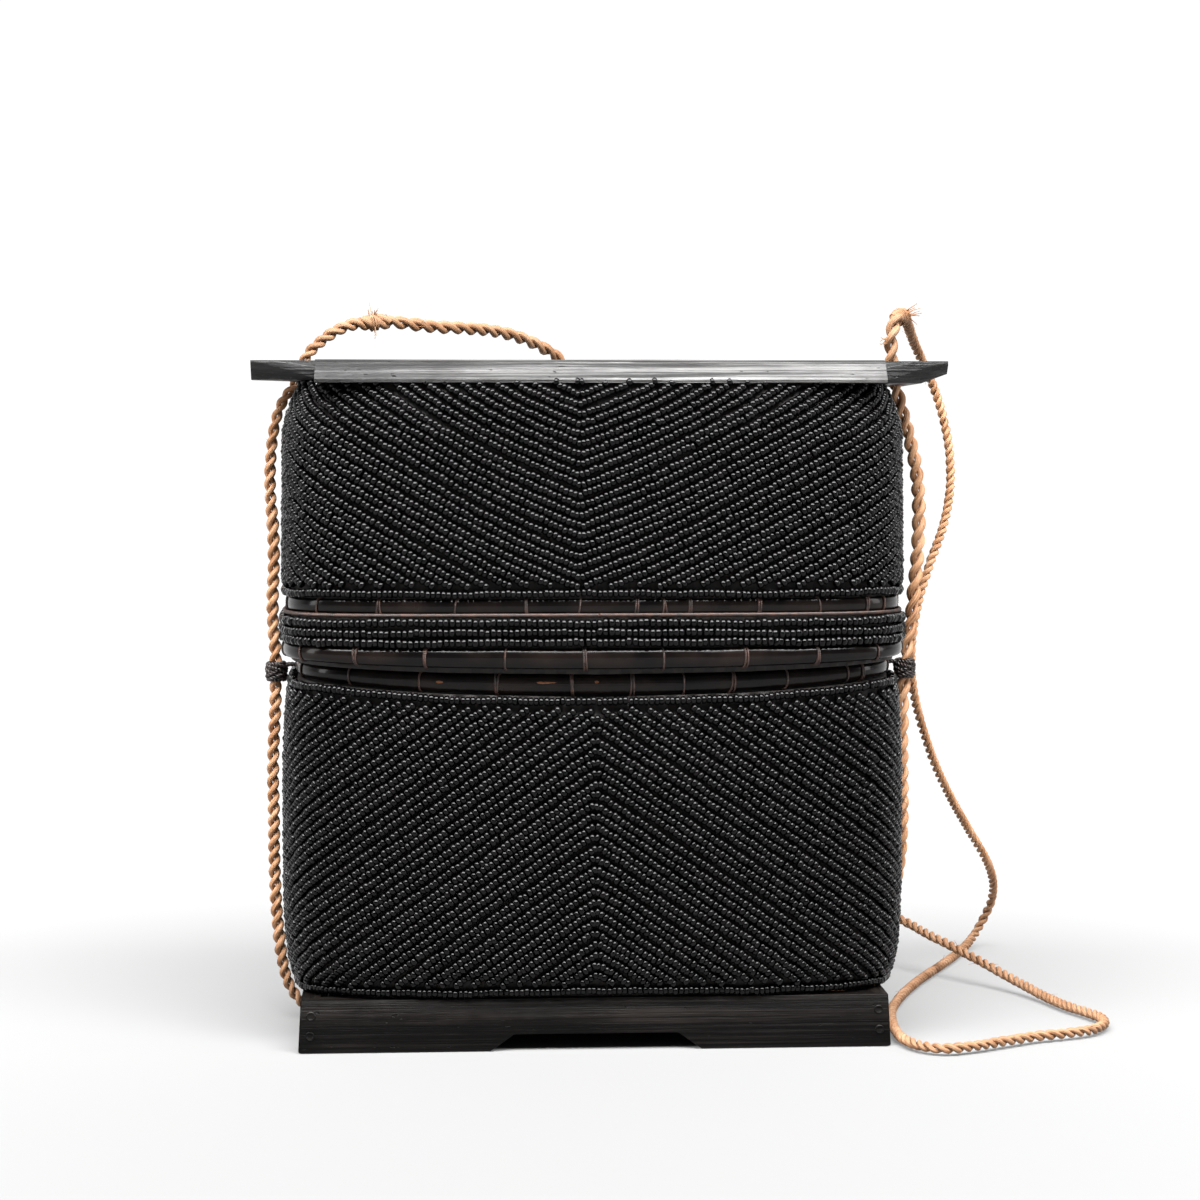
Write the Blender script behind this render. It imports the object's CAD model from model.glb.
"""Looks of the beaded treasure box: its beads, lacquered strips, plank, foot frame and twisted rope.

Everything is in metres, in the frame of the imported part: +Z up, the front faces -Y, the floor is at z = 0.
"""

import logging
import math
from collections.abc import Iterable, Sequence
from dataclasses import dataclass, field
from enum import Enum
from itertools import product

import bmesh
import bpy
import numpy as np
from mathutils import Matrix, Vector, noise

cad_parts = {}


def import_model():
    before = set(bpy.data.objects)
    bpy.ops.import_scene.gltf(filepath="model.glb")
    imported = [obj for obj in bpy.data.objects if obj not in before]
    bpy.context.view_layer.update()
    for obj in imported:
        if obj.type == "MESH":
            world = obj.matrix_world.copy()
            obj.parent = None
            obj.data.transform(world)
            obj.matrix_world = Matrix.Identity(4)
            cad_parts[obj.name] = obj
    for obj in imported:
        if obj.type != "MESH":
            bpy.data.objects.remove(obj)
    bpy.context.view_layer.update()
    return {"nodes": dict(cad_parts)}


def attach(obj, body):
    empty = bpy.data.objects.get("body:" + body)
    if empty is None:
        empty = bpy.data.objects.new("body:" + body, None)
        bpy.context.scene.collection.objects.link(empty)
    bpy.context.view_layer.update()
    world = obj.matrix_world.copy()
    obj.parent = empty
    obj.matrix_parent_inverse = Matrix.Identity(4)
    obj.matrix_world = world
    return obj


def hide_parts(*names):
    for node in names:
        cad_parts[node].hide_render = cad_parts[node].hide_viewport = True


LOG = logging.getLogger("beaded_box")
BODY = "root"
Array = np.ndarray


class Side(Enum):
    """The two ends of the box."""

    LEFT = -1
    RIGHT = 1


class Chevron(Enum):
    """Which way the strands of a bead panel run from the middle of the front."""

    RISE = 1
    FALL = -1


# Sizes shared by the sub-assemblies


def normed(vectors: Array) -> Array:
    """Vectors scaled to length 1."""
    return vectors / np.linalg.norm(vectors, axis=-1, keepdims=True)


@dataclass(frozen=True)
class BoxPlan:
    """The rounded rectangle that the box has in plan, measured from the middle of the front."""

    half_x: float = 0.0973
    half_y: float = 0.0560
    power: float = 5.0
    shift_x: float = -0.0012
    fine: int = 4096
    reach: float = 5e-4

    def outline(self) -> tuple[Array, Array]:
        """The outline's unit points.

        Returns:
            The points as shares of the half sizes, and the length along the outline at each.
        """
        angle = np.linspace(-math.pi / 2, 1.5 * math.pi, self.fine + 1)
        c, s = np.cos(angle), np.sin(angle)
        reach = (np.abs(c) ** self.power + np.abs(s) ** self.power) ** (-1 / self.power)
        unit = np.stack([c * reach, s * reach], axis=1)
        steps = np.diff(unit * [self.half_x, self.half_y], axis=0)
        length = np.concatenate([[0.0], np.cumsum(np.hypot(steps[:, 0], steps[:, 1]))])
        return unit, length

    @property
    def girth(self) -> float:
        """The length once round the outline."""
        return float(self.outline()[1][-1])

    def at(self, along: Array, inset: Array) -> tuple[Array, Array, Array]:
        """Points on the outline, set in from it.

        Args:
            along: Lengths along the outline, counter-clockwise seen from above.
            inset: How far in from the outline each point stands.

        Returns:
            The (x, y) points, the outward (x, y) normals and the share of the half width.
        """
        unit, length = self.outline()

        def shares(lengths: Array) -> Array:
            """The outline's unit points at lengths along it."""
            lengths = np.mod(lengths, length[-1])
            return np.stack([np.interp(lengths, length, unit[:, k]) for k in (0, 1)], axis=-1)

        along = np.mod(along, length[-1])
        share = shares(along)
        half = np.stack([self.half_x - inset, self.half_y - inset], axis=-1)
        run = normed((shares(along + self.reach) - shares(along - self.reach)) * half)
        point = share * half + [self.shift_x, 0.0]
        normal = np.stack([run[..., 1], -run[..., 0]], axis=-1)
        return point, normal, np.abs(share[..., 0])

    def share(self, along: Array) -> Array:
        """The share of the half width at lengths along the outline."""
        return self.at(along, np.zeros(len(along)))[2]


@dataclass(frozen=True)
class Levels:
    """The heights of the pieces that stand on each other, at the middle of the front."""

    gap: float = 0.0003
    floor_gap: float = 0.0002
    foot: float = 0.0162
    base_panel: float = 0.0918
    collar: float = 0.0063
    rim_lift: float = 0.0016
    rim: float = 0.0063
    strands: float = 0.0099
    rattan: float = 0.0044
    lid_panel: float = 0.0646
    plank: float = 0.0070
    sag: float = 0.0049
    fade_below: float = 0.0330
    fade_above: float = 0.0177

    @property
    def base_low(self) -> float:
        """Foot of the base's beads."""
        return self.foot + self.gap

    @property
    def base_high(self) -> float:
        """Top of the base's beads."""
        return self.base_low + self.base_panel

    @property
    def collar_low(self) -> float:
        """Foot of the base's collar."""
        return self.base_high + self.gap

    @property
    def rim_low(self) -> float:
        """Foot of the lid's rim strip."""
        return self.collar_low + self.collar + self.gap + self.rim_lift

    @property
    def strands_low(self) -> float:
        """Foot of the level strands."""
        return self.rim_low + self.rim + self.gap

    @property
    def rattan_low(self) -> float:
        """Foot of the narrow strip."""
        return self.strands_low + self.strands + self.gap

    @property
    def lid_low(self) -> float:
        """Foot of the lid's beads."""
        return self.rattan_low + self.rattan + self.gap

    @property
    def lid_high(self) -> float:
        """Top of the lid's beads."""
        return self.lid_low + self.lid_panel

    @property
    def plank_low(self) -> float:
        """Underside of the plank."""
        return self.lid_high + self.gap

    @property
    def plank_high(self) -> float:
        """Top of the plank."""
        return self.plank_low + self.plank

    def lift(self, z: Array) -> Array:
        """How much higher each level runs at the box's ends than at the middle of the front."""
        above = (z - self.base_high) / self.fade_above
        below = (self.base_high - z) / self.fade_below
        return self.sag * np.clip(1.0 - np.maximum(above, below), 0.0, None)


PLAN = BoxPlan()
LEVELS = Levels()


# Meshes


def random_source(name: str) -> np.random.Generator:
    """A generator of random numbers that is the same on each run."""
    return np.random.default_rng(sum(ord(letter) * (k + 7) for k, letter in enumerate(name)))


def add_piece(
    name: str,
    mesh: bpy.types.Mesh,
    finish: bpy.types.Material,
    node: str,
    smooth: float = 180.0,
    dresses: bool = True,
) -> bpy.types.Object:
    """Adds a finished piece that rides on the box.

    Args:
        name: The piece's name.
        mesh: Its mesh, in the frame of the part.
        finish: Its material.
        node: The node of the part that it belongs to.
        smooth: Edges sharper than this many degrees stay sharp.
        dresses: Whether it takes the node's place, and isn't only added to it.

    Returns:
        The new object.
    """
    mesh.name = name
    mesh.shade_smooth()
    if smooth < 180.0:
        mesh.set_sharp_from_angle(angle=math.radians(smooth))
    mesh.materials.clear()
    mesh.materials.append(finish)
    piece = bpy.data.objects.new(name, mesh)
    bpy.context.collection.objects.link(piece)
    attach(piece, BODY)
    if dresses:
        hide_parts(node)
    LOG.info("%s: %d faces", name, len(mesh.polygons))
    return piece


def to_mesh(shape: bmesh.types.BMesh, name: str) -> bpy.types.Mesh:
    """Turns a bmesh into a mesh whose faces point outwards, and frees it."""
    bmesh.ops.recalc_face_normals(shape, faces=shape.faces)
    if shape.calc_volume(signed=True) < 0:
        bmesh.ops.reverse_faces(shape, faces=shape.faces)
    mesh = bpy.data.meshes.new(name)
    shape.to_mesh(mesh)
    shape.free()
    return mesh


def applied(piece: bpy.types.Object) -> bpy.types.Mesh:
    """The mesh of an object with its modifiers or curve settings applied. The object is removed."""
    bpy.context.view_layer.update()
    depsgraph = bpy.context.evaluated_depsgraph_get()
    mesh = bpy.data.meshes.new_from_object(piece.evaluated_get(depsgraph))
    bpy.data.objects.remove(piece, do_unlink=True)
    return mesh


@dataclass
class Tube:
    """One round run of cord, thread or fibre."""

    points: Array
    radius: float
    taper: Array


def tube_mesh(name: str, tubes: Iterable[Tube], detail: int = 2) -> bpy.types.Mesh:
    """Sweeps round sections along runs of points.

    Args:
        name: The mesh's name.
        tubes: The runs, each with its radius.
        detail: The curve's bevel resolution; 2 gives 8 sides.

    Returns:
        One mesh with all the runs, each closed.
    """
    curve = bpy.data.curves.new(name, "CURVE")
    curve.dimensions = "3D"
    curve.bevel_depth = 1.0
    curve.bevel_resolution = detail
    curve.use_fill_caps = True
    for tube in tubes:
        line = curve.splines.new("POLY")
        count = len(tube.points)
        line.points.add(count - 1)
        line.points.foreach_set("co", np.column_stack([tube.points, np.ones(count)]).ravel())
        line.points.foreach_set("radius", (tube.taper * tube.radius).ravel())
    holder = bpy.data.objects.new(name, curve)
    bpy.context.collection.objects.link(holder)
    mesh = applied(holder)
    bpy.data.curves.remove(curve)
    shape = bmesh.new()
    shape.from_mesh(mesh)
    bpy.data.meshes.remove(mesh)
    return to_mesh(shape, name)


def ring_mesh(name: str, stations: Sequence[Sequence[Vector]]) -> bpy.types.Mesh:
    """Extrudes a closed section once round the box and closes the ring.

    Args:
        name: The mesh's name.
        stations: The section's corners at each station round the ring.

    Returns:
        The ring's mesh.
    """
    shape = bmesh.new()
    row = shape.verts.layers.int.new("row")
    corners = [shape.verts.new(co) for co in stations[0]]
    for index, corner in enumerate(corners):
        corner[row] = index
    first = [shape.edges.new((a, b)) for a, b in zip(corners, corners[1:] + corners[:1])]
    edges = first
    for station in stations[1:]:
        grown = bmesh.ops.extrude_edge_only(shape, edges=edges)["geom"]
        edges = [part for part in grown if isinstance(part, bmesh.types.BMEdge)]
        for corner in grown:
            if isinstance(corner, bmesh.types.BMVert):
                corner.co = station[corner[row]]
    bmesh.ops.bridge_loops(shape, edges=[*first, *edges])
    return to_mesh(shape, name)


def copies_mesh(name: str, pattern: bpy.types.Mesh, centres: Array, axes: Array) -> bpy.types.Mesh:
    """Lays many copies of a small closed mesh.

    Args:
        name: The mesh's name.
        pattern: The small mesh, with its bake map.
        centres: Where each copy goes.
        axes: The copies' three axes, scaled, as rows of 3 by 3 matrices.

    Returns:
        One mesh with a bake map that gives each copy a square of its own.
    """
    points = np.empty(len(pattern.vertices) * 3)
    pattern.vertices.foreach_get("co", points)
    points = points.reshape(-1, 3)
    corner = np.empty(len(pattern.loops), dtype=np.int64)
    pattern.loops.foreach_get("vertex_index", corner)
    total = np.empty(len(pattern.polygons), dtype=np.int64)
    pattern.polygons.foreach_get("loop_total", total)
    chart = np.empty(len(pattern.loops) * 2)
    pattern.uv_layers.active.data.foreach_get("uv", chart)
    count = len(centres)
    places = (points @ axes) + centres[:, None, :]
    mesh = bpy.data.meshes.new(name)
    mesh.vertices.add(count * len(points))
    mesh.vertices.foreach_set("co", places.ravel())
    mesh.loops.add(count * len(corner))
    shifted = corner[None, :] + (np.arange(count) * len(points))[:, None]
    mesh.loops.foreach_set("vertex_index", shifted.ravel())
    mesh.polygons.add(count * len(total))
    starts = np.concatenate([[0], np.cumsum(np.tile(total, count))[:-1]])
    mesh.polygons.foreach_set("loop_start", starts)
    mesh.update(calc_edges=True)
    across = math.ceil(math.sqrt(count))
    cells = np.stack([np.arange(count) % across, np.arange(count) // across], axis=1)
    layer = mesh.uv_layers.new(name="OFBake")
    squares = (cells[:, None, :] + 0.06 + 0.88 * chart.reshape(1, -1, 2)) / across
    layer.data.foreach_set("uv", squares.ravel())
    return mesh


# Shader values


class Value:
    """A number in a material: a wrapped socket whose operators add Math nodes."""

    def __init__(self, graph: "Graph", socket: bpy.types.NodeSocket) -> None:
        """Wraps an output socket of the graph."""
        self.graph = graph
        self.socket = socket

    def _with(self, operation: str, *others: "Value | float") -> "Value":
        """Adds one Math node on this value and others."""
        return self.graph.maths(operation, self, *others)

    def __add__(self, other: "Value | float") -> "Value":
        """This value plus another."""
        return self._with("ADD", other)

    __radd__ = __add__

    def __sub__(self, other: "Value | float") -> "Value":
        """This value less another."""
        return self._with("SUBTRACT", other)

    def __rsub__(self, other: float) -> "Value":
        """A number less this value."""
        return self.graph.maths("SUBTRACT", other, self)

    def __mul__(self, other: "Value | float") -> "Value":
        """This value times another."""
        return self._with("MULTIPLY", other)

    __rmul__ = __mul__

    def __truediv__(self, other: "Value | float") -> "Value":
        """This value over another."""
        return self._with("DIVIDE", other)

    def __rtruediv__(self, other: float) -> "Value":
        """A number over this value."""
        return self.graph.maths("DIVIDE", other, self)

    def __pow__(self, other: float) -> "Value":
        """This value to a power."""
        return self._with("POWER", other)

    def absolute(self) -> "Value":
        """This value without its sign."""
        return self._with("ABSOLUTE")

    def at_least(self, other: "Value | float") -> "Value":
        """The larger of two values."""
        return self._with("MAXIMUM", other)

    def step(self, low: float, high: float) -> "Value":
        """0 below low, 1 above high and smooth between them."""
        if low < high:
            settings = {"interpolation_type": "SMOOTHSTEP"}
            values = {"Value": self, "From Min": low, "From Max": high}
            return self.graph.node("ShaderNodeMapRange", settings, values)["Result"]
        return 1.0 - self.step(high, low)


class Outputs:
    """The outputs of one node, as values by name."""

    def __init__(self, graph: "Graph", node: bpy.types.Node) -> None:
        """Keeps the node whose outputs are read."""
        self.graph = graph
        self.node = node

    def __getitem__(self, name: str | int) -> Value:
        """One output by name or place."""
        return Value(self.graph, self.node.outputs[name])


Colour = tuple[float, float, float]


class Graph:
    """The nodes of one material, around its Principled shader."""

    def __init__(self, name: str) -> None:
        """Starts a material with a Principled shader."""
        self.material = bpy.data.materials.new(name)
        self.material.use_nodes = True
        self.tree = self.material.node_tree
        self.shader = self.tree.nodes["Principled BSDF"]

    def node(self, kind: str, settings: dict[str, object], values: dict[str | int, object]) -> Outputs:
        """Adds a node.

        Args:
            kind: The node's type.
            settings: Its own settings, set first; "stops" are the stops of a colour ramp.
            values: Numbers, colours or values for its sockets, by name or place.

        Returns:
            The node's outputs.
        """
        made = self.tree.nodes.new(kind)
        for key, setting in settings.items():
            if key == "stops":
                self._set_stops(made, setting)
            else:
                setattr(made, key, setting)
        for key, value in values.items():
            self.feed(made.inputs[key], value)
        return Outputs(self, made)

    @staticmethod
    def _set_stops(ramp: bpy.types.Node, stops: Sequence[tuple[float, Colour]]) -> None:
        """Sets the stops of a colour ramp."""
        elements = ramp.color_ramp.elements
        while len(elements) < len(stops):
            elements.new(0.5)
        for element, (position, colour) in zip(elements, stops):
            element.position = position
            element.color = (*colour, 1.0)

    def feed(self, socket: bpy.types.NodeSocket, value: object) -> None:
        """Links a value to a socket, or sets the socket to a constant."""
        if isinstance(value, Value):
            self.tree.links.new(value.socket, socket)
        elif isinstance(value, tuple) and socket.type == "RGBA":
            socket.default_value = (*value, 1.0)
        else:
            socket.default_value = value

    def maths(self, operation: str, *values: Value | float) -> Value:
        """Adds a Math node."""
        return self.node("ShaderNodeMath", {"operation": operation}, dict(enumerate(values)))["Value"]

    def places(self, scale: Colour = (1.0, 1.0, 1.0)) -> Value:
        """Object coordinates, scaled."""
        found = self.node("ShaderNodeTexCoord", {}, {})["Object"]
        return self.node("ShaderNodeMapping", {}, {"Vector": found, "Scale": scale})["Vector"]

    def map_places(self, name: str, scale: Colour = (1.0, 1.0, 1.0)) -> Value:
        """The piece's own map, scaled."""
        found = self.node("ShaderNodeUVMap", {"uv_map": name}, {})["UV"]
        return self.node("ShaderNodeMapping", {}, {"Vector": found, "Scale": scale})["Vector"]

    def parts(self, vector: Value) -> tuple[Value, Value, Value]:
        """The three numbers of a vector."""
        found = self.node("ShaderNodeSeparateXYZ", {}, {"Vector": vector})
        return found["X"], found["Y"], found["Z"]

    def noise(self, vector: Value, scale: float, detail: float = 4.0, rough: float = 0.55) -> Value:
        """Cloudy noise from 0 to 1."""
        values = {"Vector": vector, "Scale": scale, "Detail": detail, "Roughness": rough}
        return self.node("ShaderNodeTexNoise", {}, values)["Fac"]

    def cells(self, vector: Value, scale: float) -> Value:
        """A random number for each cell of a cell pattern."""
        found = self.node("ShaderNodeTexVoronoi", {}, {"Vector": vector, "Scale": scale})["Color"]
        return self.node("ShaderNodeSeparateColor", {}, {"Color": found})["Red"]

    def mix(self, share: Value | float, low: Value | Colour, high: Value | Colour) -> Value:
        """A colour between two."""
        factor, first, second, result = 0, 6, 7, 2
        values = {factor: share, first: low, second: high}
        return self.node("ShaderNodeMix", {"data_type": "RGBA"}, values)[result]

    def ramp(self, share: Value, stops: Sequence[tuple[float, Colour]]) -> Value:
        """A colour read from stops."""
        return self.node("ShaderNodeValToRGB", {"stops": stops}, {"Fac": share})["Color"]

    def bump(self, height: Value, distance: float, strength: float = 1.0) -> None:
        """Adds relief to the shader's normal."""
        values = {"Height": height, "Distance": distance, "Strength": strength}
        self.feed(self.shader.inputs["Normal"], self.node("ShaderNodeBump", {}, values)["Normal"])

    def set(self, **values: object) -> None:
        """Feeds the shader's sockets: base_color feeds Base Color."""
        for name, value in values.items():
            self.feed(self.shader.inputs[name.replace("_", " ").title().replace("Ior", "IOR")], value)


# Finishes


@dataclass(frozen=True)
class BlackBeads:
    """Glossy black glass, a little different from bead to bead."""

    low: Colour = (0.0004, 0.0004, 0.0005)
    high: Colour = (0.0030, 0.0026, 0.0028)
    bead: float = 0.0027

    def build(self) -> bpy.types.Material:
        """Makes the material."""
        graph = Graph("black_glass_beads")
        places = graph.places()
        tone = graph.cells(places, 1.0 / self.bead)
        smear = graph.noise(places, 60.0, 2.0)
        graph.set(
            base_color=graph.mix(tone, self.low, self.high),
            roughness=0.03 + tone * 0.07 + smear * 0.05,
            specular_ior_level=0.19,
        )
        return graph.material


@dataclass(frozen=True)
class LacqueredRattan:
    """Black lacquer over split rattan, worn brown in a few spots."""

    black: Colour = (0.0015, 0.0012, 0.0012)
    rubbed: Colour = (0.008, 0.005, 0.004)
    brown: Colour = (0.110, 0.040, 0.015)
    spots: tuple[tuple[float, float, float], ...] = (
        (-0.0495, 0.1130, 0.0012), (-0.0170, 0.1126, 0.0040), (-0.0020, 0.1128, 0.0010),
    )

    def build(self) -> bpy.types.Material:
        """Makes the material."""
        graph = Graph("lacquered_rattan")
        places = graph.places()
        x, y, z = graph.parts(places)
        grain = graph.noise(graph.places((9.0, 9.0, 620.0)), 1.0, 5.0, 0.6)
        patches = graph.noise(places, 70.0, 3.0, 0.6)
        ragged = graph.noise(graph.places((300.0, 300.0, 900.0)), 1.0, 3.0, 0.7)
        worn = graph.noise(graph.places((95.0, 95.0, 330.0)), 1.0, 4.0, 0.7).step(0.76, 0.80)
        for middle, level, half in self.spots:
            away = (((x - middle) / half) ** 2.0 + ((z - level) / 0.0005) ** 2.0) + ragged * 3.0
            worn = worn.at_least((2.2 - away).step(0.0, 0.5) * (0.0 - y).step(0.0, 0.01))
        lacquer = graph.mix(patches.step(0.35, 0.75), self.black, self.rubbed)
        graph.set(
            base_color=graph.mix(worn, lacquer, self.brown),
            roughness=0.07 + patches * 0.18 + grain * 0.12 + worn * 0.35,
            specular_ior_level=0.12,
            coat_weight=0.16 - worn * 0.16,
            coat_roughness=0.06,
        )
        graph.bump(grain * 0.6 + patches * 0.8 - worn * 0.4, 0.0004, 0.55)
        return graph.material


@dataclass(frozen=True)
class LacqueredWood:
    """Thin black lacquer on a hand-cut board, with its grain, dull haze and worn edges."""

    name: str
    along: Colour = (12.0, 520.0, 1100.0)
    black: Colour = (0.0008, 0.0006, 0.0005)
    haze: Colour = (0.0100, 0.0076, 0.0064)
    brown: Colour = (0.026, 0.011, 0.006)
    worn_from: float = 0.64
    relief: float = 0.0005
    gloss: float = 0.30
    shine: float = 0.10
    film: float = 0.22
    clear_from: float | None = None
    clear_ends: float | None = None

    def build(self) -> bpy.types.Material:
        """Makes the material."""
        graph = Graph(self.name)
        places = graph.places()
        x, _, _ = graph.parts(places)
        fine = graph.noise(graph.places(self.along), 1.0, 6.0, 0.70)
        broad = graph.noise(graph.places(tuple(0.32 * k for k in self.along)), 1.0, 3.0, 0.5)
        cloud = graph.noise(places, 26.0, 4.0, 0.6)
        pits = graph.noise(graph.places((260.0, 800.0, 800.0)), 1.0, 2.0, 0.5).step(0.70, 0.76)
        streak = (fine * 0.65 + broad * 0.35).step(0.42, 0.60)
        worn = (fine * 0.5 + cloud * 0.5).step(self.worn_from, self.worn_from + 0.05)
        dusty = cloud.step(0.30, 0.60)
        if self.clear_from is not None:
            cleared = (x + cloud * 0.03).step(self.clear_from, self.clear_from + 0.035)
            dusty = dusty * (0.22 + 0.78 * cleared)
        if self.clear_ends is not None:
            dusty = dusty * (1.0 - 0.92 * x.absolute().step(self.clear_ends, self.clear_ends + 0.0008))
        base = graph.mix(streak * dusty, self.black, self.haze)
        graph.set(
            base_color=graph.mix(worn, graph.mix(pits, base, (0.0015, 0.0012, 0.0012)), self.brown),
            roughness=self.gloss + (1.0 - streak) * 0.12 + cloud * 0.14 + worn * 0.2,
            specular_ior_level=self.shine,
            coat_weight=self.film * streak * (1.0 - pits) * (0.30 + 0.70 * dusty),
            coat_roughness=0.34,
        )
        graph.bump(broad * 1.0 + fine * 0.8 - pits * 1.2, self.relief, 0.9)
        return graph.material


@dataclass(frozen=True)
class SmokedBasket:
    """Dark woven basket work, which shows between the beads and inside the box."""

    strip: float = 0.0032
    dark: Colour = (0.003, 0.002, 0.002)
    light: Colour = (0.012, 0.008, 0.006)

    def build(self) -> bpy.types.Material:
        """Makes the material."""
        graph = Graph("smoked_basket_work")
        x, y, z = graph.parts(graph.places())
        around = (x + y) * (math.pi / self.strip)
        up = z * (math.pi / self.strip)
        over = (graph.maths("SINE", around) * graph.maths("SINE", up)).step(-0.5, 0.5)
        fibre = graph.noise(graph.places((300.0, 300.0, 300.0)), 1.0, 5.0, 0.6)
        colour = graph.mix(over * 0.6 + fibre * 0.4, self.dark, self.light)
        graph.set(base_color=colour, roughness=0.55 + fibre * 0.3)
        graph.bump(over + fibre * 0.4, 0.0005, 0.6)
        return graph.material


@dataclass(frozen=True)
class GrassRope:
    """Twisted plies of dry grass fibre."""

    length: float
    name: str
    dark: Colour = (0.110, 0.037, 0.012)
    middle: Colour = (0.370, 0.182, 0.084)
    pale: Colour = (0.560, 0.338, 0.205)
    soil: float = 0.46

    def build(self) -> bpy.types.Material:
        """Makes the material."""
        graph = Graph(self.name)
        run = graph.map_places("UVMap", (self.length * 85.0, 9.0, 1.0))
        places = graph.places()
        fibre = graph.noise(run, 1.0, 5.0, 0.65)
        stain = graph.noise(places, 90.0, 3.0, 0.6)
        tint = graph.noise(places, 14.0, 2.0, 0.5)
        tone = fibre * 0.62 + stain * 0.28 + tint * 0.10
        _, _, z = graph.parts(places)
        soiled = self.soil * z.step(0.198, 0.216) + (self.soil - 0.1) * (1.0 - z.step(0.004, 0.040))
        straw = graph.ramp(tone, [(0.32, self.dark), (0.47, self.middle), (0.64, self.pale)])
        graph.set(
            base_color=graph.mix(soiled, straw, (0.030, 0.014, 0.006)),
            roughness=0.48 + fibre * 0.25,
            specular_ior_level=0.35,
        )
        graph.bump(fibre * 1.0 + stain * 0.3, 0.00045, 0.9)
        return graph.material


@dataclass(frozen=True)
class PlainFibre:
    """Loose fibres and threads of one colour, with a little change along them."""

    name: str
    low: Colour
    high: Colour
    rough: float

    def build(self) -> bpy.types.Material:
        """Makes the material."""
        graph = Graph(self.name)
        cloud = graph.noise(graph.places(), 420.0, 3.0, 0.6)
        colour = graph.mix(cloud.step(0.3, 0.7), self.low, self.high)
        graph.set(base_color=colour, roughness=self.rough + cloud * 0.2)
        graph.bump(cloud, 0.0002, 0.6)
        return graph.material


@dataclass
class Finishes:
    """Every material of the box, made once."""

    beads: bpy.types.Material = field(default_factory=BlackBeads().build)
    rattan: bpy.types.Material = field(default_factory=LacqueredRattan().build)
    plank: bpy.types.Material = field(
        default_factory=LacqueredWood(
            "lacquered_plank", relief=0.0007, gloss=0.32, worn_from=0.72, haze=(0.062, 0.060, 0.058),
            shine=0.30, film=1.0, clear_from=-0.062, clear_ends=0.0862,
        ).build
    )
    foot: bpy.types.Material = field(default_factory=LacqueredWood("lacquered_foot").build)
    foot_ends: bpy.types.Material = field(
        default_factory=LacqueredWood("lacquered_foot_ends", along=(520.0, 12.0, 1100.0)).build
    )
    basket: bpy.types.Material = field(default_factory=SmokedBasket().build)
    thread: bpy.types.Material = field(
        default_factory=PlainFibre("waxed_thread", (0.003, 0.0015, 0.001), (0.042, 0.016, 0.009), 0.35).build
    )
    cord: bpy.types.Material = field(
        default_factory=PlainFibre("black_cord", (0.0015, 0.0012, 0.0012), (0.016, 0.008, 0.006), 0.32).build
    )
    fibre: bpy.types.Material = field(
        default_factory=PlainFibre("loose_grass_fibre", (0.16, 0.065, 0.024), (0.36, 0.180, 0.080), 0.5).build
    )


# The rope


def smooth_route(points: Sequence[Vector], per_leg: int = 24) -> list[Vector]:
    """A smooth curve through points."""
    ends = [2 * points[0] - points[1], *points, 2 * points[-1] - points[-2]]
    curve = []
    for before, start, stop, after in zip(ends, ends[1:], ends[2:], ends[3:]):
        for k in range(per_leg):
            t = k / per_leg
            bend = 2 * before - 5 * start + 4 * stop - after
            twist = 3 * start - before - 3 * stop + after
            curve.append(0.5 * (2 * start + (stop - before) * t + bend * t**2 + twist * t**3))
    curve.append(points[-1])
    return curve


def even_points(curve: Sequence[Vector] | Array, spacing: float) -> Array:
    """Points at even steps along a curve."""
    points = np.array(curve, dtype=float)
    length = np.concatenate([[0.0], np.cumsum(np.linalg.norm(np.diff(points, axis=0), axis=1))])
    wanted = np.linspace(0.0, length[-1], max(3, round(length[-1] / spacing) + 1))
    return np.stack([np.interp(wanted, length, points[:, k]) for k in range(3)], axis=1)


def unturned_axes(points: Array) -> tuple[Array, Array, Array]:
    """Axes carried along a curve without twist.

    Args:
        points: The curve's points.

    Returns:
        The unit tangents and two unit axes across them, at each point.
    """
    tangents = normed(np.gradient(points, axis=0))
    across = [normed(np.cross(tangents[0], [0.3, 1.0, 0.2]))]
    for tangent in tangents[1:]:
        across.append(normed(across[-1] - tangent * np.dot(tangent, across[-1])))
    first_axis = np.array(across)
    return tangents, first_axis, np.cross(tangents, first_axis)


@dataclass(frozen=True)
class Twist:
    """How plies are laid up into a cord."""

    plies: int
    ply_radius: float
    offset: float
    lay: float | Array
    uneven: float = 0.10
    size: float | Array = 1.0

    def around(self, points: Array, seed: np.random.Generator) -> list[Tube]:
        """The plies that wind round a curve.

        Args:
            points: The cord's centreline, at even steps.
            seed: The source of its unevenness.

        Returns:
            One tube for each ply.
        """
        step = float(np.linalg.norm(points[1] - points[0]))
        _, first, second = unturned_axes(points)
        waves = np.convolve(seed.normal(size=len(points) + 40), np.ones(41) / 6.4, mode="valid")
        turn = np.cumsum(2 * math.pi * step / (self.lay * (1 + self.uneven * waves)))
        made = []
        for ply in range(self.plies):
            angle = turn + 2 * math.pi * ply / self.plies
            side = np.cos(angle)[:, None] * first + np.sin(angle)[:, None] * second
            marks = np.arange(0.0, len(points) * step + 0.01, 0.003)
            swell = np.interp(np.arange(len(points)) * step, marks, seed.normal(size=len(marks)))
            thick = 1 + self.uneven * 0.5 * swell
            reach = side * self.offset * np.broadcast_to(self.size, len(points))[:, None]
            made.append(Tube(points + reach, self.ply_radius, np.clip(thick, 0.8, 1.15) * self.size))
        return made


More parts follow.
